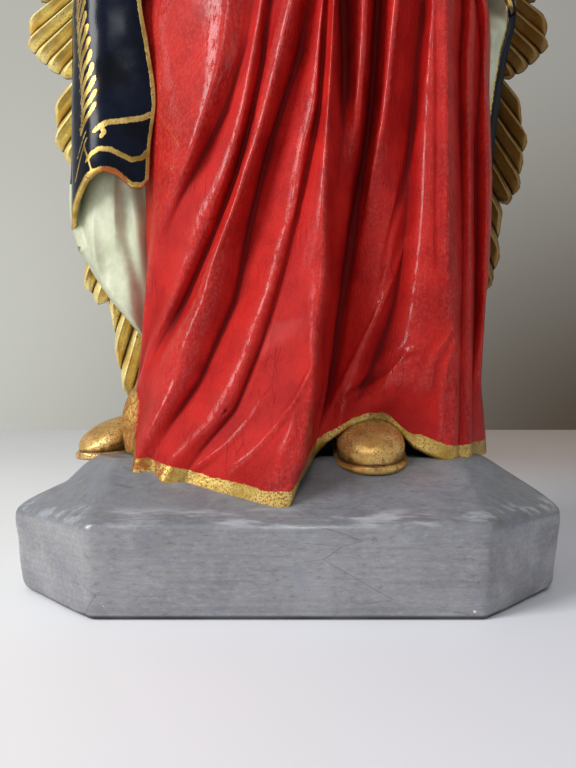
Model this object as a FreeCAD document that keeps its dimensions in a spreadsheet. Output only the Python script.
"""Standing Madonna at prayer in a wreath of rays: a carved, painted and gilded figure, about 450 mm tall.

The figure is built up from blocks, as a carver builds it. A lower block holds the gown with its folds, an
upper block holds the body above the girdle, and the head, hands, arms and shoes are pieces of their own. The
mantle is four more blocks glued round them. Whittled eight-sided pegs hold the blocks to each other and to
the plinth. Behind the figure stands an oval board that carries the bundles of rays. Its raised spine is
screwed to the flat back of the mantle. The plinth is low and eight-sided, with a mounded top.

Frame: millimetres, +Z up, the figure faces -Y, +X is to the right of someone who looks at its face. The
origin is on the underside of the plinth, at its centre. "right" and "left" in the names are the figure's own.
"""

import FreeCAD, Part
import math
import os
import Sketcher
from FreeCAD import Placement, Rotation, Vector

DIMENSIONS = {
    # plinth
    "plinth_width": 180, "plinth_depth": 130, "plinth_corner": 31.5,
    "wall_height": 27, "wall_lean": 2.4, "foot_bevel": 2.5, "edge_round": 3,
    "mound_height": 44, "mound_width": 150, "mound_depth": 84, "mound_corner": 20, "mound_setback": 6,
    # figure
    "waist_height": 268, "neck_height": 352, "chin_height": 364, "head_top": 411,
    "hem_thickness": 3.5, "mantle_block": 14, "girdle_height": 7, "girdle_thickness": 1.6,
    # wreath of rays
    "seat_depth": 26, "glory_top": 450, "glory_half_width": 107, "glory_centre": 247, "ray_focus": 300,
    "ray_thickness": 7, "ray_groove": 3, "ray_bevel": 4, "ray_root": 0.42,
    "board_front": 33, "board_thickness": 5, "board_half_width": 88, "board_half_height": 178,
    "board_centre": 252, "spine_width": 40, "spine_foot": 118, "spine_top": 332,
    # shoes
    "shoe_length": 56, "shoe_width": 22, "shoe_height": 14, "sole_thickness": 2.2,
    # dowels and screws
    "plinth_dowel": 8, "plinth_dowel_length": 28, "waist_dowel": 10, "waist_dowel_length": 30,
    "neck_dowel": 7, "neck_dowel_length": 18, "shoe_dowel": 4, "shoe_dowel_length": 14,
    "screw_shank": 4, "screw_length": 46, "screw_head": 8, "screw_head_height": 2.6, "screw_well": 10,
    "screw_well_depth": 8,
    "board_screw": 3.5, "board_screw_length": 22, "board_screw_head": 7, "board_screw_head_height": 2,
}

doc = FreeCAD.newDocument("madonna")
sheet = doc.addObject("Spreadsheet::Sheet", "dims")
for row, (alias, value) in enumerate(DIMENSIONS.items(), start=1):
    sheet.set(f"A{row}", alias)
    sheet.set(f"B{row}", str(value))
    sheet.setAlias(f"B{row}", alias)
doc.recompute()

SUBPARTS = []


def dim(alias):
    """The value of a cell of the sheet, in millimetres."""
    return float(sheet.get(alias))


def subpart(item, label):
    """Gives an object of the document its label and lists it among the pieces that are written out."""
    item.Label = label
    SUBPARTS.append(item)
    return item


def feature(label, shape):
    """A piece whose free form is set from a shape."""
    item = doc.addObject("Part::Feature", label)
    item.Shape = shape
    return subpart(item, label)


def bound(kind, name, place=None, **cells):
    """A Part primitive whose properties follow expressions on the sheet."""
    item = doc.addObject(kind, name)
    for name_of_property, expression in cells.items():
        item.setExpression(name_of_property, expression)
    if place is not None:
        item.Placement = place
    return item


def one_solid(shape):
    """The largest solid of a shape, without the slivers that a cut can leave."""
    return max(shape.Solids, key=lambda solid: solid.Volume)


# ---------------------------------------------------------------- curves and lofts


def hermite(points, at):
    """A smooth value at one height, from (height, value, value, ...) rows sorted by height."""
    if at <= points[0][0]:
        return list(points[0][1:])
    if at >= points[-1][0]:
        return list(points[-1][1:])
    index = max(i for i, row in enumerate(points) if row[0] <= at)
    low, high = points[index], points[index + 1]
    before = points[max(index - 1, 0)]
    after = points[min(index + 2, len(points) - 1)]
    span = high[0] - low[0]
    t = (at - low[0]) / span
    values = []
    for k in range(1, len(low)):
        slope_low = (high[k] - before[k]) / (high[0] - before[0]) * span
        slope_high = (after[k] - low[k]) / (after[0] - low[0]) * span
        values.append(
            (2 * t**3 - 3 * t**2 + 1) * low[k] + (t**3 - 2 * t**2 + t) * slope_low
            + (3 * t**2 - 2 * t**3) * high[k] + (t**3 - t**2) * slope_high
        )
    return values


def smooth_ring(points, parts):
    """Points of a closed smooth curve through points, with a number of parts between each two of them."""
    curve = Part.BSplineCurve()
    gaps = [math.sqrt((points[(k + 1) % len(points)] - p).Length) for k, p in enumerate(points)]
    knots = [sum(gaps[:k]) for k in range(len(gaps) + 1)]
    curve.interpolate(Points=points, PeriodicFlag=True, Parameters=knots)
    return [curve.value(low + (high - low) * step / parts)
            for low, high in zip(knots, knots[1:]) for step in range(parts)]


def carved(rings):
    """A closed form with flat facets, cut from ring to ring as a knife leaves them."""
    facets = []
    for low, high in zip(rings, rings[1:]):
        for k, (a, d) in enumerate(zip(low, high)):
            b, c = low[(k + 1) % len(low)], high[(k + 1) % len(low)]
            halves = ((a, b, c), (a, c, d)) if (a - c).Length < (b - d).Length else ((a, b, d), (b, c, d))
            facets += [Part.Face(Part.makePolygon([*corners, corners[0]])) for corners in halves]
    facets += [Part.Face(Part.makePolygon(end + end[:1])) for end in (rings[0], rings[-1])]
    return Part.makeSolid(Part.makeShell(facets))


def oval(z, half_width, front, back, count=14, x=0.0):
    """Points of an oval in plan at one height, from its half width and its front and back."""
    centre, half_depth = (front + back) / 2, (back - front) / 2
    turn = [2 * math.pi * k / count for k in range(count)]
    return [Vector(x + half_width * math.cos(a), centre + half_depth * math.sin(a), z) for a in turn]


def oval_loft(rows):
    """A closed form lofted through ovals given as (height, half width, front, back)."""
    return carved([oval(*row) for row in rows])


def smooth_line(points, parts):
    """Points of an open smooth curve through points, with a number of parts between each two of them."""
    curve = Part.BSplineCurve()
    gaps = [math.sqrt((q - p).Length) for p, q in zip(points, points[1:])]
    knots = [sum(gaps[:k]) for k in range(len(gaps) + 1)]
    curve.interpolate(Points=points, Parameters=knots)
    line = [curve.value(low + (high - low) * step / parts)
            for low, high in zip(knots, knots[1:]) for step in range(parts)]
    return line + [points[-1]]


def folded_sheet(paths, thickness):
    """A carved sheet of cloth: each path is its outer line in plan, and a thickness separates the inner line."""
    rings = []
    for path in paths:
        inner = []
        for k, point in enumerate(path):
            along = path[min(k + 1, len(path) - 1)] - path[max(k - 1, 0)]
            across = Vector(-along.y, along.x, 0).normalize()
            inner.append(point + across * thickness(k / (len(path) - 1)))
        rings.append(path + inner[::-1])
    return carved(rings)


def prism(outline, low, high):
    """A solid from an outline of (x, z) points, running along Y from low to high."""
    corners = [Vector(x, low, z) for x, z in outline]
    return Part.Face(Part.makePolygon(corners + corners[:1])).extrude(Vector(0, high - low, 0))


def side_prism(outline, low, high):
    """A solid from an outline of (y, z) points, running along X from low to high."""
    corners = [Vector(low, y, z) for y, z in outline]
    return Part.Face(Part.makePolygon(corners + corners[:1])).extrude(Vector(high - low, 0, 0))


# ---------------------------------------------------------------- plinth


DOWEL_PLACES = [(-22.0, 4.0), (34.0, 4.0)]
SCREW_PLACES = [(-6.0, 6.0), (18.0, 6.0)]
PEG_SIDES, SCREW_SIDES = 8, 12
UPRIGHT_WEDGE = Rotation(Vector(1, 0, 0), 90)


def frustum(name, low, high, base, rise, turned, setback):
    """A wedge standing on a height of the plinth: half sizes (x, y) below and above, as expressions."""
    wedge = doc.addObject("Part::Wedge", name)
    wedge.Ymin = 0
    wedge.setExpression("Ymax", rise)
    for prefix, (half_x, half_y), shift in (("", low, "0"), ("2", high, setback)):
        across = f"({shift}) / sqrt(2)" if turned else "0"
        away = f"({shift}) / sqrt(2)" if turned else f"({shift})"
        wedge.setExpression(f"X{prefix}min", f"-({half_x}) + {across}")
        wedge.setExpression(f"X{prefix}max", f"({half_x}) + {across}")
        wedge.setExpression(f"Z{prefix}min", f"-({half_y}) - {away}")
        wedge.setExpression(f"Z{prefix}max", f"({half_y}) - {away}")
    turn = Rotation(Vector(0, 0, 1), 45 if turned else 0)
    wedge.Placement = Placement(Vector(0, 0, base), turn * UPRIGHT_WEDGE)
    return wedge


def eight_sided(name, low, high, base, rise, setback="0"):
    """An eight-sided block: a four-sided frustum whose corners another one, turned by 45 degrees, cuts."""
    square = []
    for half_x, half_y, corner in (low, high):
        side = f"({half_x} + {half_y} - {corner}) / sqrt(2)"
        square.append((side, side))
    common = doc.addObject("Part::MultiCommon", name)
    common.Shapes = [
        frustum(f"{name}_sides", low[:2], high[:2], base, rise, False, setback),
        frustum(f"{name}_corners", square[0], square[1], base, rise, True, setback),
    ]
    return common


def softened(name, base, low, high, radius):
    """Rounds every edge of an object whose middle lies between two heights."""
    doc.recompute()
    fillet = doc.addObject("Part::Fillet", name)
    fillet.Base = base
    fillet.Edges = [(number, radius, radius) for number, edge in enumerate(base.Shape.Edges, start=1)
                    if low + 0.01 < edge.CenterOfMass.z < high + 0.01]
    doc.recompute()
    return fillet


def pin(name, stand, sides, diameter, length):
    """A straight many-sided pin that starts at a place."""
    made = bound("Part::Prism", name, stand, Circumradius=f"dims.{diameter} / 2", Height=f"dims.{length}")
    made.Polygon = sides
    return made


def plinth_holes():
    """Wells and ways of the screws that come up from below, and the sockets of the dowels."""
    holes = []
    for number, (x, y) in enumerate(SCREW_PLACES):
        stand = Placement(Vector(x, y, 0), Rotation())
        holes.append(pin(f"screw_well_{number}", stand, SCREW_SIDES, "screw_well", "screw_well_depth"))
        holes.append(pin(f"screw_way_{number}", stand, SCREW_SIDES, "screw_shank", "mound_height"))
    for number, (x, y) in enumerate(DOWEL_PLACES):
        stand = Placement(Vector(x, y, dim("mound_height") - dim("plinth_dowel_length") / 2), Rotation())
        holes.append(pin(f"dowel_socket_{number}", stand, PEG_SIDES, "plinth_dowel", "plinth_dowel_length"))
    return holes


def make_plinth():
    """The plinth: leaning walls over a bevelled foot, a rounded rim and a mound, with wells for screws."""
    half = {}
    insets = {"foot": "dims.wall_lean + dims.foot_bevel", "wall": "dims.wall_lean", "rim": "0"}
    for name, inset in insets.items():
        half[name] = (f"(dims.plinth_width / 2 - ({inset}))", f"(dims.plinth_depth / 2 - ({inset}))",
                      f"(dims.plinth_corner - 0.586 * ({inset}))")
    half["mound"] = ("dims.mound_width / 2", "dims.mound_depth / 2", "dims.mound_corner")
    blocks = doc.addObject("Part::MultiFuse", "plinth_blocks")
    blocks.Shapes = [
        eight_sided("foot", half["foot"], half["wall"], 0, "dims.foot_bevel"),
        eight_sided("walls", half["wall"], half["rim"], dim("foot_bevel"),
                    "dims.wall_height - dims.foot_bevel"),
        eight_sided("mound", half["rim"], half["mound"], dim("wall_height"),
                    "dims.mound_height - dims.wall_height", "dims.mound_setback"),
    ]
    blocks.Refine = True
    soft = softened("softened_blocks", blocks, dim("foot_bevel"), dim("wall_height"), dim("edge_round"))
    holes = doc.addObject("Part::MultiFuse", "plinth_holes")
    holes.Shapes = plinth_holes()
    plinth = doc.addObject("Part::Cut", "plinth")
    plinth.Base, plinth.Tool = soft, holes
    doc.recompute()
    return subpart(plinth, "plinth"), soft.Shape


# ---------------------------------------------------------------- gown

# Crests and hollows of the gown's folds, in order from the figure's right side across the front to its left
# side and round the back. Each rail is a list of (height, x, y).
GOWN_RAILS = [
    ("right_side", [
        (45, -44, -4), (69, -46, -8), (95, -52, -12), (145, -50, -6), (205, -47, -3), (240, -38, 0),
        (270, -26, 2)]),
    ("knee", [
        (45, -46, -12), (69, -47, -13), (95, -50, -18), (121, -45, -22), (145, -31, -36),
        (177, -22, -36), (205, -20, -33), (240, -18, -24), (270, -14, -13)]),
    ("knee_hollow", [
        (45, -47, -20), (69, -47, -18), (95, -46, -21), (121, -39, -27), (145, -27, -32),
        (177, -15, -33), (205, -11, -31), (240, -9, -23), (270, -8, -14)]),
    ("shin_crest", [
        (45, -49, -28), (69, -49, -24), (95, -39, -30), (121, -27, -35), (145, -17, -38),
        (177, -11, -37), (205, -7, -34), (240, -5, -25), (270, -5, -15.5)]),
    ("shin_hollow", [
        (45, -50, -35), (69, -45, -27), (95, -35, -29), (121, -23, -33), (145, -15, -34), (177, -8, -34),
        (205, -5, -31), (240, -2, -23), (270, -2, -14.5)]),
    ("long_crest", [
        (45, -48, -42), (69, -36, -42), (95, -28, -42), (121, -18, -43), (145, -10, -43), (177, -2, -41),
        (205, 4, -38), (240, 5, -27), (270, 2, -16)]),
    ("long_hollow", [
        (45, -43, -43), (69, -28, -39), (95, -17, -37), (121, -12, -35), (145, -6, -34), (177, 4, -32),
        (205, 10, -29), (240, 9, -23), (270, 3, -15)]),
    ("broad_crest", [
        (45, -37, -47), (69, -16, -49), (95, -7, -47), (121, 1, -44.5), (145, 6, -42), (177, 10, -39),
        (205, 12, -37), (240, 11, -27.5), (270, 5, -16)]),
    ("broad_hollow", [
        (45, -28, -47), (69, -12, -48.5), (95, -3, -46.5), (121, 3, -43.5), (145, 7.5, -40),
        (177, 11.5, -37), (205, 13.5, -35), (240, 13, -26), (270, 6, -15)]),
    ("hem_crest", [
        (45, -12, -55), (69, 4, -54.5), (95, 4, -50.5), (121, 7, -47), (145, 10, -43.5),
        (177, 13, -39.5), (205, 14, -38), (240, 14, -28), (270, 7, -16)]),
    ("front_crest", [
        (30, 0, -57.5), (45, 4, -57.5), (69, 7.5, -56), (95, 10, -53), (121, 11, -49), (145, 12, -46),
        (177, 14, -42), (205, 15, -40), (240, 15, -29), (270, 8, -16.5)]),
    ("front_slope", [
        (45, 7, -47), (69, 11, -46), (95, 14, -42), (121, 15, -40), (145, 18, -37), (177, 20, -26),
        (205, 18.5, -26), (240, 18, -22), (270, 10, -14)]),
    ("tongue", [
        (45, 9, -43), (69, 13, -41), (95, 16, -36), (121, 19, -33), (145, 22, -36), (177, 24, -37),
        (205, 25, -35), (240, 22, -27), (270, 12, -15.5)]),
    ("deep_hollow", [
        (45, 11, -38), (69, 14, -35), (95, 18, -29), (121, 22, -26), (145, 26, -24), (177, 30, -22),
        (205, 31, -22), (240, 26, -19), (270, 14, -13)]),
    ("slant_crest", [
        (45, 14, -36), (69, 16, -38), (95, 22, -32), (121, 26, -33), (145, 29, -35), (177, 33, -37),
        (205, 34, -36), (240, 29, -26), (270, 16, -14)]),
    ("sweep_crest", [
        (45, 18, -37), (69, 19, -41), (95, 30, -37), (121, 36, -34), (145, 36, -32.5), (177, 38, -33),
        (205, 39, -33), (240, 32, -25), (270, 18, -13)]),
    ("sweep_hollow", [
        (45, 22, -35), (69, 27, -33), (95, 35, -32), (121, 39, -31), (145, 40, -30), (177, 43, -29),
        (205, 44, -29), (240, 36, -21), (270, 19.5, -11)]),
    ("instep", [
        (45, 30, -36), (69, 32, -38), (95, 41, -38), (121, 43.5, -37), (145, 44.5, -36),
        (177, 46.5, -34), (205, 47.5, -33), (240, 38, -24), (270, 21, -11.5)]),
    ("left_crest", [
        (45, 54, -36), (69, 55, -36), (95, 54, -36.5), (121, 53, -36), (145, 53, -35), (177, 53, -34),
        (205, 52, -33), (240, 42, -22), (270, 23, -9)]),
    ("left_edge", [
        (45, 58, -32), (69, 57.5, -31), (95, 59.5, -29), (121, 60, -28), (145, 59, -27), (177, 58, -26),
        (205, 58, -26), (240, 46, -17), (270, 24.5, -6)]),
    ("side_hollow", [
        (45, 60, -24), (69, 61, -20), (95, 63, -18), (121, 63, -18), (145, 62, -18), (205, 61, -18),
        (240, 48, -12), (270, 25.5, -4)]),
    ("side_crest", [
        (45, 68, -12), (69, 65, -15), (95, 66, -17), (121, 68, -15), (145, 70, -14), (177, 67.5, -14),
        (205, 68, -14), (240, 54, -8), (270, 26.5, -1)]),
    ("left_side", [
        (45, 73, -4), (69, 70, -4), (95, 71, -3), (121, 74, -2), (169, 76, -2), (205, 74, -2),
        (240, 58, 2), (270, 27, 4)]),
    ("back_left", [(45, 66, 14), (120, 62, 13), (205, 56, 14), (270, 24, 13)]),
    ("back_crest_1", [(45, 46, 25), (120, 42, 22), (205, 38, 20), (270, 14, 18.5)]),
    ("back_hollow_1", [(45, 31, 22), (120, 28, 19.5), (205, 24, 19), (270, 8, 18.5)]),
    ("back_crest_2", [(45, 16, 27), (120, 12, 23.5), (205, 10, 21.5), (270, 3, 20)]),
    ("back_hollow_2", [(45, -1, 23), (120, -4, 21), (205, -4, 20), (270, -4, 19.5)]),
    ("back_crest_3", [(45, -18, 26), (120, -20, 22.5), (205, -18, 20.5), (270, -10, 18.5)]),
    ("back_right", [(45, -36, 19), (120, -38, 17), (205, -36, 15), (270, -20, 12)]),
    ("right_fall_side", [(45, -46, 6), (95, -52, 2), (145, -51, 5), (205, -47, 6), (270, -26, 6)]),
]
GOWN_FOOT, GOWN_LEVELS = 24, 14


def make_gown(mound):
    """The lower block: the gown from its hem on the mound to the waist, open in an arch over each shoe."""
    rise = (dim("waist_height") - GOWN_FOOT) / (GOWN_LEVELS - 1)
    levels = [GOWN_FOOT + rise * k for k in range(GOWN_LEVELS)]
    rings = [[Vector(*hermite(rail, z), z) for _, rail in GOWN_RAILS] for z in levels]
    gown = carved([smooth_ring(points, 2) for points in rings])
    gown = gown.cut(mound)
    front_arch = [(13, 30), (13.5, 44), (17, 51), (22, 55.5), (28, 57), (34, 55), (38.5, 50), (41, 44),
                  (41, 30)]
    gown = gown.cut(prism(front_arch, -70, -16))
    side_arch = [(-22, 30), (-21, 46), (-15, 57), (-6, 62), (4, 60), (11, 50), (12, 30)]
    return one_solid(gown.cut(side_prism(side_arch, -90, -36)))


# ---------------------------------------------------------------- body above the girdle


def make_torso():
    """The upper block: waist, breast and shoulders with the upper arms, up to the socket of the neck."""
    base = dim("waist_height")
    return oval_loft([
        (base, 26.5, -15, 20.5), (base + 12, 30, -16, 21.5), (base + 28, 38, -19, 23),
        (base + 46, 43, -21, 23.5), (base + 60, 43, -18, 22), (base + 71, 35, -14, 19), (base + 79, 20, -11, 14),
        (dim("neck_height") - 1, 12.5, -9.5, 10.5),
    ])


def make_girdle():
    """A carved band laid round the joint of the two blocks."""
    low = dim("waist_height") - dim("girdle_height") / 2
    high = low + dim("girdle_height")
    over = dim("girdle_thickness")
    rows = [(low, 28.5 + over, -17.5 - over, 22 + over), (high, 27.6 + over, -16.4 - over, 21.6 + over)]
    return carved([oval(*row) for row in rows])


# Rings of the skull: share of the head's height above the chin, half width, front and back.
SKULL_ROWS = [
    (0.0, 7.0, -16.5, -3.0), (0.05, 9.6, -19.3, 2.0), (0.12, 12.0, -20.2, 5.0), (0.22, 14.2, -20.0, 9.0),
    (0.36, 16.0, -19.9, 13.0), (0.46, 17.0, -19.0, 14.8), (0.54, 17.5, -19.9, 15.8),
    (0.68, 17.8, -19.6, 16.3), (0.82, 15.8, -16.8, 15.0), (0.93, 11.2, -11.5, 11.0), (0.985, 5.2, -5.5, 5.5),
]
# Rings of a lock of hair: height above the chin, its middle, half width, front and back.
LOCK_ROWS = [
    (-12, 12.8, 2.6, -6, 4), (2, 14.6, 3.4, -11, 5), (16, 16.6, 3.6, -14, 6), (28, 15.6, 4.0, -16.2, 6),
    (36, 11.6, 5.0, -16.6, 6), (42, 6.4, 5.6, -13.0, 6), (45, 4.4, 3.6, -9.0, 5),
]
# Nose, from the nostrils up to the brow: share of the head's height, half width, how far it stands out.
NOSE_ROWS = [(0.30, 2.2, 20.6), (0.315, 3.3, 23.4), (0.345, 3.4, 24.4), (0.38, 2.4, 23.6), (0.46, 1.6, 21.8),
             (0.55, 1.9, 20.2)]


# Eye hollows, eyes, lips and chin, each a lens: how far to the side, share of the head's height, half width,
# half height, front and back.
EYE_HOLLOW = (6.6, 0.52, 4.6, 3.0, -23.0, -17.0)
EYE = (6.6, 0.51, 3.7, 2.2, -18.6, -12.0)
MOUTH_ROWS = [(0.0, 0.225, 4.6, 1.3, -21.9, -15.0), (0.0, 0.178, 3.9, 1.5, -21.8, -15.0)]
CHIN = (0.0, 0.07, 5.0, 3.2, -21.3, -12.0)


def lens(x, z, half_width, half_height, front, back):
    """A small rounded form that stands upright, widest at its middle."""
    rows = []
    for share in (-0.85, 0.0, 0.85):
        narrow = math.sqrt(1 - share * share)
        middle, half_depth = (front + back) / 2, (back - front) / 2 * narrow
        front_here, back_here = middle - half_depth, middle + half_depth
        rows.append(oval(z + share * half_height, half_width * narrow, front_here, back_here, 8, x))
    return carved(rows)


def make_head():
    """Head, neck and hair in one block: a plain face with eyes, nose, lips and chin, and parted hair."""
    chin, top = dim("chin_height"), dim("head_top")
    height = top - chin

    def placed(row, side=1):
        across, share, *rest = row
        return lens(side * across, chin + share * height, *rest)

    head = oval_loft([(chin + share * height, *rest) for share, *rest in SKULL_ROWS])
    neck = oval_loft([(chin - 13, 10.5, -9, 10), (chin - 6, 9.4, -9.5, 9), (chin + 8, 9.6, -9, 10)])
    nose = carved([oval(chin + share * height, wide, -ridge, -17, 8) for share, wide, ridge in NOSE_ROWS])
    for side in (-1, 1):
        head = head.cut(placed(EYE_HOLLOW, side))
    head = head.fuse([neck, nose, placed(CHIN)] + [placed(row) for row in MOUTH_ROWS])
    for side in (-1, 1):
        rows = [oval(chin + rise, wide, front, back, 10, side * middle)
                for rise, middle, wide, front, back in LOCK_ROWS]
        head = head.fuse([placed(EYE, side), carved(rows)])
    return one_solid(head)


# ---------------------------------------------------------------- arms and hands

SHOULDER = Vector(37, 2, 322)
ELBOW = Vector(46, -3, 272)
WRIST = Vector(4.6, -35, 304)
FINGER_LEAN = Vector(0, -0.24, 0.97)
FINGER_LENGTHS = (17.5, 20.0, 19.0, 15.0)


def along_axis(origin, direction, radii):
    """Ovals square to a direction: (distance, across, upright) for each."""
    axis = Vector(direction).normalize()
    across = axis.cross(Vector(0, 0, 1)).normalize()
    upright = across.cross(axis).normalize()
    wires = []
    for distance, wide, tall, drop in radii:
        centre = origin + axis * distance - upright * drop
        turn = [2 * math.pi * k / 10 for k in range(10)]
        wires.append([centre + across * (wide * math.cos(a)) + upright * (tall * math.sin(a)) for a in turn])
    return carved(wires)


def rod(start, way, side_way, rows, count=6):
    """A tapering rod: (distance, half width, half thickness) along a direction."""
    third = side_way.cross(way)
    turn = [2 * math.pi * (k + 0.5) / count for k in range(count)]
    return carved([[start + way * distance + third * (wide * math.cos(a)) + side_way * (thick * math.sin(a))
                    for a in turn] for distance, wide, thick in rows])


def make_sleeve(side):
    """One arm: the upper arm against the body, and the forearm in a wide sleeve, hollow at the cuff."""
    elbow = Vector(side * ELBOW.x, ELBOW.y, ELBOW.z)
    wrist = Vector(side * WRIST.x, WRIST.y, WRIST.z)
    shoulder = Vector(side * SHOULDER.x, SHOULDER.y, SHOULDER.z)
    run, drop = (wrist - elbow).Length, (elbow - shoulder).Length
    forearm = along_axis(elbow, wrist - elbow, [
        (-8, 7, 7, 0), (0, 10.5, 11, 0), (run * 0.4, 9.5, 11.5, 1.5), (run * 0.8, 8.0, 13.0, 4),
        (run - 5, 7.4, 14, 5.5)])
    mouth = along_axis(elbow, wrist - elbow, [(run - 13, 4.6, 7, 2), (run - 4.9, 6.0, 12.4, 5.5)])
    arm = along_axis(elbow, wrist - elbow, [
        (run - 26, 5.4, 5.4, 0), (run, 3.6, 4.4, 0), (run + 4, 2.6, 3.6, 0)])
    upper = rod(shoulder, (elbow - shoulder).normalize(), Vector(side, 0, 0),
                [(-4, 7, 6), (8, 12.5, 10.5), (drop * 0.6, 12, 10), (drop, 11, 9.5), (drop + 7, 7, 6.5)], 10)
    sleeve = forearm.cut(mouth).fuse([arm, upper])
    half = Part.makeBox(80, 80, 120, Vector(0 if side > 0 else -80, -70, 240))
    return one_solid(sleeve.common(half))


def make_hand(side):
    """One of the joined hands: palm, four fingers side by side and the thumb, from the wrist upwards."""
    lean = Vector(FINGER_LEAN).normalize()
    back = Vector(0, lean.z, -lean.y)
    outwards = Vector(side, 0, 0)
    wrist = Vector(0, WRIST.y - 1.0, WRIST.z + 1)
    hand = rod(wrist + outwards * 2.4, lean, outwards,
               [(-3, 4.0, 2.4), (4, 5.4, 2.5), (11, 8.0, 2.5), (18, 8.6, 2.3), (21, 8.2, 2.0)], 12)
    for number, length in enumerate(FINGER_LENGTHS):
        foot = wrist + outwards * 2.05 + lean * 17 + back * (4.05 * number - 6.1)
        hand = hand.fuse(rod(foot, lean, outwards, [
            (0, 2.1, 2.0), (length * 0.5, 2.0, 2.0), (length - 2, 1.8, 1.8), (length, 1.0, 1.1)]))
    thumb_foot = wrist + outwards * 2.3 + lean * 4 + back * 6.2
    thumb_way = (lean + back * 0.28).normalize()
    hand = hand.fuse(rod(thumb_foot, thumb_way, outwards,
                         [(0, 2.5, 2.2), (10, 2.2, 2.1), (15, 1.8, 1.8), (17, 1, 1)]))
    half = Part.makeBox(40, 90, 90, Vector(0 if side > 0 else -40, -90, 280))
    return one_solid(hand.common(half))


# ---------------------------------------------------------------- shoes


# Rings of a shoe's upper: share of the length from the toe, share of the half width, share of the height.
UPPER_ROWS = [(0.03, 0.36, 0.38), (0.08, 0.6, 0.5), (0.14, 0.76, 0.62), (0.24, 0.88, 0.75),
              (0.34, 0.94, 0.86), (0.48, 0.94, 0.95), (0.62, 0.9, 1.0), (0.8, 0.82, 1.05), (1.0, 0.74, 1.08)]


def make_shoe(length, half_width, height):
    """A plain slipper on a thin sole, its toe at the origin and pointing along -Y, cut square behind."""
    sole_line = [(0, 0), (0.06, 0.55), (0.2, 0.9), (0.42, 1.0), (0.7, 0.86), (1.0, 0.78)]
    right = smooth_line([Vector(half_width * wide, length * along, 0) for along, wide in sole_line], 3)
    outline = [Vector(-p.x, p.y, 0) for p in right[:0:-1]] + right
    sole = Part.Face(Part.makePolygon(outline + outline[:1])).extrude(Vector(0, 0, dim("sole_thickness")))
    upper = []
    for along, wide, tall in UPPER_ROWS:
        turn = [2 * math.pi * k / 20 for k in range(20)]
        low = dim("sole_thickness") * 0.6
        upper.append([Vector(half_width * wide * math.cos(a), length * along,
                             low + (height * tall - low) * max(math.sin(a), -0.05)) for a in turn])
    return one_solid(sole.fuse(carved(upper)))


# Each shoe: where its toe is, how far it is turned about the upright, how far its toe dips, and how far
# behind the toe its dowel enters the gown.
SHOE_PLACES = {
    "right_shoe": (Vector(-72, -22, 41), -40, -3, 44),
    "left_shoe": (Vector(27, -42, 39.5), 0, -4, 26),
}


def place_shoe(name, fitted):
    """Stands a shoe in its arch of the hem, cut to fit what it touches."""
    toe, turned, dip, _ = SHOE_PLACES[name]
    shoe = make_shoe(dim("shoe_length"), dim("shoe_width") / 2, dim("shoe_height"))
    shoe.Placement = Placement(toe, Rotation(Vector(0, 0, 1), turned) * Rotation(Vector(1, 0, 0), dip))
    for other in fitted:
        shoe = shoe.cut(other)
    return one_solid(shoe)


# ---------------------------------------------------------------- mantle

# Mantle round the back: height, half width right, half width left, y of the sides, y of the back, fold depth.
MANTLE_BACK_ROWS = [
    (56, 66, 66, 13, 26, 2.0), (95, 73, 70, 9, 26, 2.0), (130, 82, 76, 2, 26, 2.0),
    (170, 81, 79, 0, 26, 1.9), (205, 80, 85, -1, 26, 1.8), (245, 74, 78, 0, 26, 1.4),
    (285, 64, 66, 0, 26, 0.9), (315, 56, 56, 2, 26, 0.6), (342, 46, 46, 3, 25, 0.4),
]
BACK_POINTS, BACK_LEVELS = 25, 8
BACK_FOLDS = 5


def mantle_back_path(z, right, left, side_y, back_y, fold):
    """The outer line of the mantle in plan, from the figure's left side round the back to its right side."""
    path = []
    for k in range(BACK_POINTS):
        t = k / (BACK_POINTS - 1)
        width = left if t < 0.5 else right
        swell = math.sin(math.pi * t) ** 0.8 if 0 < t < 1 else 0.0
        ripple = fold * math.cos(2 * math.pi * BACK_FOLDS * t) * math.sin(math.pi * t)
        path.append(Vector(width * math.cos(math.pi * t), side_y + (back_y - side_y) * swell + ripple, z))
    return path


def make_mantle_back(fitted):
    """The back of the mantle: full of folds outside, hollowed inside to fit the two body blocks."""
    rise = (MANTLE_BACK_ROWS[-1][0] - MANTLE_BACK_ROWS[0][0]) / (BACK_LEVELS - 1)
    levels = [MANTLE_BACK_ROWS[0][0] + rise * k for k in range(BACK_LEVELS)]
    paths = [mantle_back_path(z, *hermite(MANTLE_BACK_ROWS, z)) for z in levels]
    edge, middle = dim("hem_thickness"), dim("mantle_block")
    shell = folded_sheet(paths, lambda share: edge + (middle - edge) * math.sin(math.pi * share) ** 3)
    hem = [(-110, 150), (-82, 127), (-70, 106), (-58, 87), (-42, 70), (-20, 61), (8, 59), (36, 64), (56, 84),
           (70, 112), (80, 132), (110, 160), (110, 0), (-110, 0)]
    behind = Part.makeBox(240, 40, 460, Vector(-120, dim("seat_depth"), 0))
    shell = shell.cut(prism(hem, -60, 80)).cut(behind)
    for other in fitted:
        shell = shell.cut(other)
    return one_solid(shell)


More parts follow.
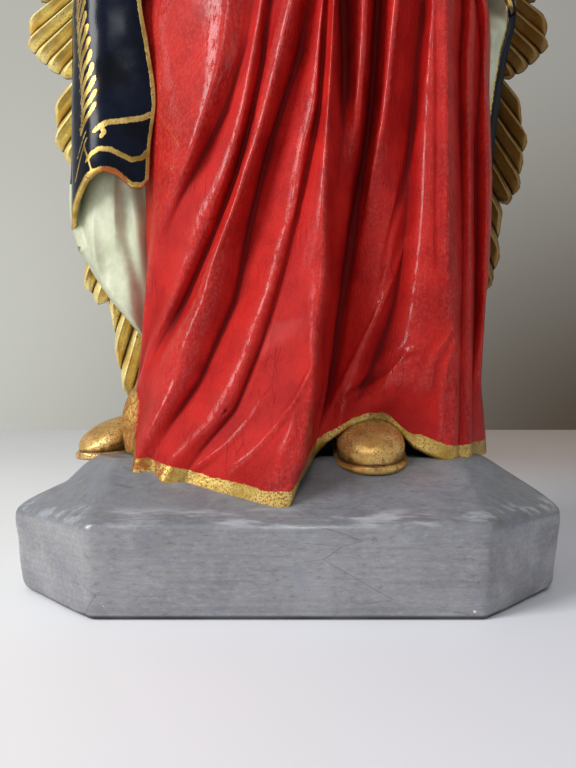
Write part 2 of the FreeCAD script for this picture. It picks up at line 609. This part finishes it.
# Falls of the mantle over the arms: (height, plan points from the front edge round to the side).
RIGHT_FALL_ROWS = [
    (126, [(-49, -18), (-60, -18.5), (-70, -15), (-78, -7), (-81.5, 3)]),
    (165, [(-46, -19), (-58, -20), (-69, -16), (-78, -8), (-81, 0)]),
    (205, [(-51, -20), (-61, -20.5), (-70, -16), (-77.5, -9), (-80, -1)]),
    (245, [(-44, -25), (-55, -24.5), (-65, -18.5), (-72, -9.5), (-74, 0)]),
    (285, [(-34, -28), (-45, -26.5), (-55, -19.5), (-62, -10), (-64, 0)]),
    (315, [(-28, -25.5), (-38, -24), (-47.5, -17), (-54, -8), (-56, 2)]),
    (342, [(-20, -16), (-29, -15.5), (-37, -11), (-43.5, -4.5), (-46, 3)]),
]
LEFT_FALL_ROWS = [
    (205, [(83.2, -7), (84, -5.5), (84.5, -4), (84.8, -2.5), (85, -1)]),
    (225, [(70, -14), (75, -13.5), (79, -10), (81.5, -5), (82, -0.5)]),
    (245, [(56, -21), (64, -20.5), (71, -15.5), (76.5, -8), (78, 0)]),
    (285, [(36, -28), (47, -26.5), (57, -19.5), (64, -10), (66, 0)]),
    (315, [(28, -25.5), (38, -24), (47.5, -17), (54, -8), (56, 2)]),
    (342, [(20, -16), (29, -15.5), (37, -11), (43.5, -4.5), (46, 3)]),
]


def make_fall(rows, side, fitted):
    """A fall of the mantle, from its front edge over the arm to the block of the back."""
    paths = [smooth_line([Vector(x, y, z) for x, y in points], 2) for z, points in rows]
    shell = folded_sheet(paths, lambda share: side * dim("hem_thickness"))
    for other in fitted:
        shell = shell.cut(other)
    return shell


def make_hood(fitted):
    """The part of the mantle that covers the head and meets the shoulders, open round the face."""
    outer = oval_loft([
        (340, 45.5, -12, 25), (350, 33, -12.5, 21.5), (361, 25.5, -12, 19.6), (374, 24.5, -13, 19.4),
        (388, 25, -14, 19.4), (401, 22.5, -13, 18.4), (411, 16, -9.5, 14), (417, 6.5, -2.5, 6)])
    half_face = [(25, 330), (19, 345), (16.5, 360), (17.5, 382), (15.5, 396), (9, 404.5)]
    face = [(-x, z) for x, z in half_face] + [(0, 407.5)] + half_face[::-1]
    hood = outer.cut(prism(face, -40, 0))
    inner = oval_loft([
        (338, 26, -14, 19), (350, 22.5, -14, 17), (361, 21.6, -14, 16.4), (374, 21.4, -15, 16.6),
        (388, 21.6, -15, 16.6), (400, 19.6, -14, 15.6), (408.5, 13, -9.5, 11.5), (413.4, 4, -3, 4)])
    hood = hood.cut(inner)
    for other in fitted:
        hood = hood.cut(other)
    return one_solid(hood)


# ---------------------------------------------------------------- wreath of rays

# Each bundle of rays up one side: the sector it fills, in degrees from straight down as seen from the focus,
# and the reach of its rays one by one, as shares of the wreath's outline. Two bundles on the figure's right
# are shorter, where the mantle hangs lower.
RAY_BUNDLES = {
    "ray_bundle_1": (13.5, 20.5, (1.05, 1.03, 0.985)),
    "ray_bundle_2": (20.5, 29.0, (0.99, 1.015, 0.97)),
    "ray_bundle_3": (29.0, 39.8, (0.98, 0.965, 0.92)),
    "ray_bundle_4": (39.8, 53.0, (0.915, 0.96, 1.005, 1.01)),
    "ray_bundle_5": (53.0, 64.0, (0.96, 0.985, 1.0)),
    "ray_bundle_6": (64.0, 76.0, (0.96, 0.99, 0.97)),
    "ray_bundle_7": (76.0, 90.0, (1.0, 0.97, 1.01)),
    "ray_bundle_8": (90.0, 104.0, (0.97, 1.0, 0.96)),
    "ray_bundle_9": (104.0, 119.0, (1.0, 0.96, 0.99)),
    "ray_bundle_10": (119.0, 134.0, (0.96, 1.0, 0.97)),
    "ray_bundle_11": (134.0, 149.0, (1.0, 0.97, 1.01)),
    "ray_bundle_12": (149.0, 163.5, (0.96, 1.0, 0.97)),
}
RIGHT_REACHES = {"ray_bundle_2": (1.0, 0.98, 0.95), "ray_bundle_3": (0.93, 0.945, 0.92)}
CREST_BUNDLE = (163.5, 196.5, (1.0, 0.96, 1.0, 0.965, 1.0, 0.96, 1.0))


def glory_reach(angle):
    """Distance from the focus to the wreath's outline, at an angle in degrees from straight down."""
    turn = math.radians(angle)
    half_height = dim("glory_top") - dim("glory_centre")
    reach = 0.0
    for step in (64, 16, 4, 1, 0.25):
        while True:
            x = math.sin(turn) * (reach + step)
            z = dim("ray_focus") - math.cos(turn) * (reach + step) - dim("glory_centre")
            if abs(x / dim("glory_half_width")) ** 2.2 + abs(z / half_height) ** 2.2 > 1:
                break
            reach += step
    return reach


def ray(angle, spread, inner, outer):
    """One ray: a ridged wedge that widens away from the focus, with a slanting end."""
    focus = Vector(0, dim("board_front"), dim("ray_focus"))
    turn = math.radians(angle)
    way = Vector(math.sin(turn), 0, -math.cos(turn))
    across = Vector(math.cos(turn), 0, math.sin(turn))
    side = math.tan(math.radians(spread / 2))
    groove, crest = dim("ray_groove"), dim("ray_thickness")
    profile = [(-1, 0), (-1, groove), (0, crest), (1, groove), (1, 0)]
    ends = []
    for distance, slant in ((inner, 0), (outer, dim("ray_bevel"))):
        lengths = [distance - slant * rise / crest for _, rise in profile]
        ends.append([focus + way * along + across * (share * side * along) - Vector(0, rise, 0)
                     for along, (share, rise) in zip(lengths, profile)])
    return carved(ends)


def make_bundle(start, end, reaches):
    """A bundle of rays fanned out over a sector, each a step longer or shorter than the one beside it."""
    spread = (end - start) / len(reaches)
    rays = []
    for number, reach in enumerate(reaches):
        angle = start + spread * (number + 0.5)
        outer = glory_reach(angle) * reach
        rays.append(ray(angle, spread, outer * dim("ray_root"), outer))
    return rays[0].fuse(rays[1:])


# Where the screws go through the board's spine: (x, height).
BOARD_SCREW_PLACES = [(0.0, 145.0), (0.0, 305.0)]


def mirrored(shape):
    """The same form on the figure's other side."""
    return shape.mirror(Vector(0, 0, 0), Vector(1, 0, 0))


def make_board(screws):
    """The flat oval board that carries the rays, with a raised spine that meets the figure's back."""
    body = doc.addObject("PartDesign::Body", "board_blank")
    upright = [plane for plane in body.Origin.OriginFeatures if plane.Role == "XZ_Plane"][0]
    oval_line = body.newObject("Sketcher::SketchObject", "oval_line")
    oval_line.AttachmentSupport = [(upright, "")]
    oval_line.MapMode = "FlatFace"
    oval_line.setExpression(".AttachmentOffset.Base.z", "-dims.board_front")
    centre = Vector(0, dim("board_centre"), 0)
    tall, wide = Vector(0, dim("board_half_height"), 0), Vector(dim("board_half_width"), 0, 0)
    oval_line.addGeometry(Part.Ellipse(centre + tall, centre + wide, centre), False)
    oval_line.exposeInternalGeometry(0)
    for number, (axis, half) in enumerate((("major", "half_height"), ("minor", "half_width")), start=1):
        index = oval_line.addConstraint(Sketcher.Constraint("Distance", number, 2 * dim(f"board_{half}")))
        oval_line.renameConstraint(index, axis)
        oval_line.setExpression(f"Constraints.{axis}", f"2 * dims.board_{half}")
    index = oval_line.addConstraint(Sketcher.Constraint("DistanceY", -1, 1, 0, 3, dim("board_centre")))
    oval_line.renameConstraint(index, "rise")
    oval_line.setExpression("Constraints.rise", "dims.board_centre")
    oval_line.addConstraint(Sketcher.Constraint("PointOnObject", 0, 3, -2))
    oval_line.addConstraint(Sketcher.Constraint("Vertical", 1))
    plate = body.newObject("PartDesign::Pad", "plate")
    plate.Profile = oval_line
    plate.setExpression("Length", "dims.board_thickness")
    plate.Reversed = True
    spine_line = body.newObject("Sketcher::SketchObject", "spine_line")
    spine_line.AttachmentSupport = [(upright, "")]
    spine_line.MapMode = "FlatFace"
    spine_line.setExpression(".AttachmentOffset.Base.z", "-dims.board_front")
    half, low, high = dim("spine_width") / 2, dim("spine_foot"), dim("spine_top")
    corners = [Vector(-half, low, 0), Vector(half, low, 0), Vector(half, high, 0), Vector(-half, high, 0)]
    for k, corner in enumerate(corners):
        spine_line.addGeometry(Part.LineSegment(corner, corners[(k + 1) % 4]), False)
    for k in range(4):
        spine_line.addConstraint(Sketcher.Constraint("Coincident", k, 2, (k + 1) % 4, 1))
    for number, kind in ((1, "Vertical"), (2, "Horizontal"), (3, "Vertical")):
        spine_line.addConstraint(Sketcher.Constraint(kind, number))
    spine_line.addConstraint(Sketcher.Constraint("Symmetric", 0, 1, 0, 2, -2))
    for name, constraint, expression in (
            ("width", Sketcher.Constraint("DistanceX", 0, 1, 0, 2, 2 * half), "dims.spine_width"),
            ("foot", Sketcher.Constraint("DistanceY", -1, 1, 0, 1, low), "dims.spine_foot"),
            ("top", Sketcher.Constraint("DistanceY", -1, 1, 2, 1, high), "dims.spine_top")):
        index = spine_line.addConstraint(constraint)
        spine_line.renameConstraint(index, name)
        spine_line.setExpression(f"Constraints.{name}", expression)
    spine = body.newObject("PartDesign::Pad", "spine")
    spine.Profile = spine_line
    spine.setExpression("Length", "dims.board_front - dims.seat_depth")
    drilled = doc.addObject("Part::Cut", "glory_board")
    drilled.Base, drilled.Tool = body, screws
    doc.recompute()
    return subpart(drilled, "glory_board")


# ---------------------------------------------------------------- dowels and screws


def make_screws(label, places, way, shank, length, head, head_height):
    """Wood screws of one kind: a shank and a flat head at each place, all driven one way."""
    screws = []
    for number, place in enumerate(places):
        stand = Placement(place, Rotation(Vector(0, 0, 1), way))
        screw = doc.addObject("Part::MultiFuse", f"{label}_{number}")
        screw.Shapes = [pin(f"{label}_{number}_shank", stand, SCREW_SIDES, shank, length),
                        pin(f"{label}_{number}_head", stand, SCREW_SIDES, head, head_height)]
        screws.append(screw)
    group = doc.addObject("Part::Compound", label)
    group.Links = screws
    doc.recompute()
    return subpart(group, label)


def make_dowels(label, places, diameter, length):
    """Whittled pegs of one size, from the middle point and the direction of each."""
    dowels = []
    for number, (middle, way) in enumerate(places):
        way = Vector(way).normalize()
        stand = Placement(middle - way * (dim(length) / 2), Rotation(Vector(0, 0, 1), way))
        dowels.append(pin(f"{label}_{number}", stand, PEG_SIDES, diameter, length))
    group = doc.addObject("Part::Compound", label)
    group.Links = dowels
    doc.recompute()
    return subpart(group, label)


def shoe_dowel(name):
    """The middle and the direction of a shoe's dowel: along the shoe, where its cut end meets the gown."""
    toe, turned, _, reach = SHOE_PLACES[name]
    way = Rotation(Vector(0, 0, 1), turned).multVec(Vector(0, 1, 0))
    return toe + way * reach + Vector(0, 0, dim("shoe_height") * 0.5), way


# ---------------------------------------------------------------- the whole figure


def build():
    """Makes every piece, cuts each to fit its neighbours, and drills them for their dowels and screws."""
    plinth, mound = make_plinth()
    up, down, forwards = Vector(0, 0, 1), Vector(0, 0, -1), Vector(0, -1, 0)
    waist, neck, top = dim("waist_height"), dim("neck_height"), dim("mound_height")
    plinth_dowels = make_dowels(
        "plinth_dowels", [(Vector(x, y, top), up) for x, y in DOWEL_PLACES],
        "plinth_dowel", "plinth_dowel_length")
    plinth_screws = make_screws(
        "plinth_screws", [Vector(x, y, dim("screw_well_depth")) for x, y in SCREW_PLACES], up,
        "screw_shank", "screw_length", "screw_head", "screw_head_height")
    waist_dowel = make_dowels("waist_dowel", [(Vector(0, 2, waist), up)], "waist_dowel", "waist_dowel_length")
    neck_dowel = make_dowels("neck_dowel", [(Vector(0, 0.5, neck), up)], "neck_dowel", "neck_dowel_length")
    shoe_dowels = make_dowels(
        "shoe_dowels", [shoe_dowel(name) for name in SHOE_PLACES], "shoe_dowel", "shoe_dowel_length")
    board_back = dim("board_front") + dim("board_thickness")
    board_screws = make_screws(
        "board_screws", [Vector(x, board_back, z) for x, z in BOARD_SCREW_PLACES], forwards,
        "board_screw", "board_screw_length", "board_screw_head", "board_screw_head_height")

    gown = make_gown(mound)
    head = make_head()
    torso = make_torso().cut(head)
    sleeves = {side: one_solid(make_sleeve(side).cut(torso).cut(gown)) for side in (-1, 1)}
    hands = {side: one_solid(make_hand(side).cut(sleeves[side])) for side in (-1, 1)}
    girdle = make_girdle().cut(gown).cut(torso)
    arms = [sleeves[-1], sleeves[1]]
    hood = make_hood([torso, head])
    back = make_mantle_back([gown, torso, hood] + arms)
    right_fall = make_fall(RIGHT_FALL_ROWS, -1, [back, gown, torso, hood, sleeves[-1]])
    left_fall = make_fall(LEFT_FALL_ROWS, 1, [back, gown, torso, hood, sleeves[1]])
    shoes = {name: place_shoe(name, [mound, gown]) for name in SHOE_PLACES}

    pins = [plinth_dowels, plinth_screws, waist_dowel, shoe_dowels, board_screws]
    for pin in pins:
        gown = gown.cut(pin.Shape)
    torso = torso.cut(waist_dowel.Shape).cut(neck_dowel.Shape).cut(board_screws.Shape)
    head = head.cut(neck_dowel.Shape)
    back = back.cut(board_screws.Shape)
    for name, shape in shoes.items():
        feature(name, shape.cut(shoe_dowels.Shape))
    for name, shape in [("gown", gown), ("torso", torso), ("head", head), ("girdle", girdle), ("hood", hood),
                        ("right_sleeve", sleeves[-1]), ("left_sleeve", sleeves[1]), ("right_hand", hands[-1]),
                        ("left_hand", hands[1]), ("right_fall", right_fall), ("left_fall", left_fall),
                        ("mantle_back", back)]:
        feature(name, one_solid(shape))
    for name, (start, end, reaches) in RAY_BUNDLES.items():
        feature(f"left_{name}", make_bundle(start, end, reaches))
        feature(f"right_{name}", mirrored(make_bundle(start, end, RIGHT_REACHES.get(name, reaches))))
    feature("crest_ray_bundle", make_bundle(*CREST_BUNDLE))
    make_board(board_screws)


build()
doc.recompute()

for item in doc.Objects:
    if "Invalid" in item.State or "Error" in item.State:
        raise RuntimeError(f"{item.Label} did not recompute: {item.State}")
os.makedirs("parts", exist_ok=True)
for item in SUBPARTS:
    if item.Shape.isNull() or not item.Shape.isValid():
        raise RuntimeError(f"{item.Label} has no valid shape")
    item.Shape.exportStep(f"parts/{item.Label}.step")
    print(item.Label, len(item.Shape.Solids), round(item.Shape.Volume), item.Shape.BoundBox)
